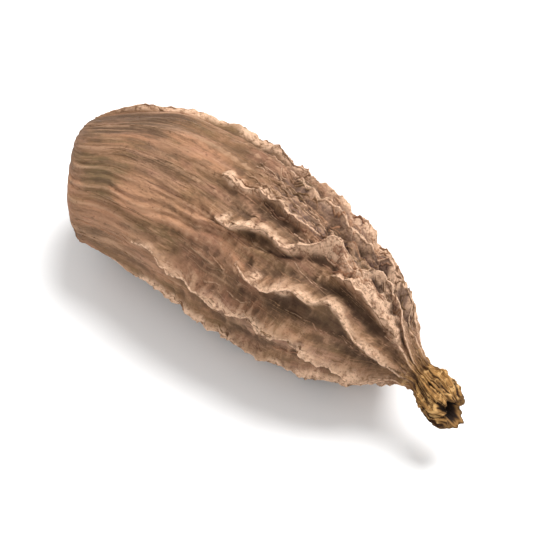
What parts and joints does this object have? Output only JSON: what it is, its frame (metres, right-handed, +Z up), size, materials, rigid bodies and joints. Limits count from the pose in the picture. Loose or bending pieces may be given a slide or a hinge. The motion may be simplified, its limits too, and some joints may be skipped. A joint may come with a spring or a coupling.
{
  "type": "black cardamom pod",
  "caption": "Whole dried black cardamom pod: plump ribbed husk with crinkled lengthwise wings, blunt base and dried calyx stub, lying on its side.",
  "frame": {"origin": "middle of the pod's bounding box, on the surface that the pod lies on", "axes": "+X along the pod towards the calyx stub, +Z up"},
  "size_m": [0.0388, 0.0142, 0.0131],
  "materials": {
    "husk": "matte, dry and fibrous"
  },
  "bodies": {
    "root": {"pod": "husk"}
  },
  "joints": []
}
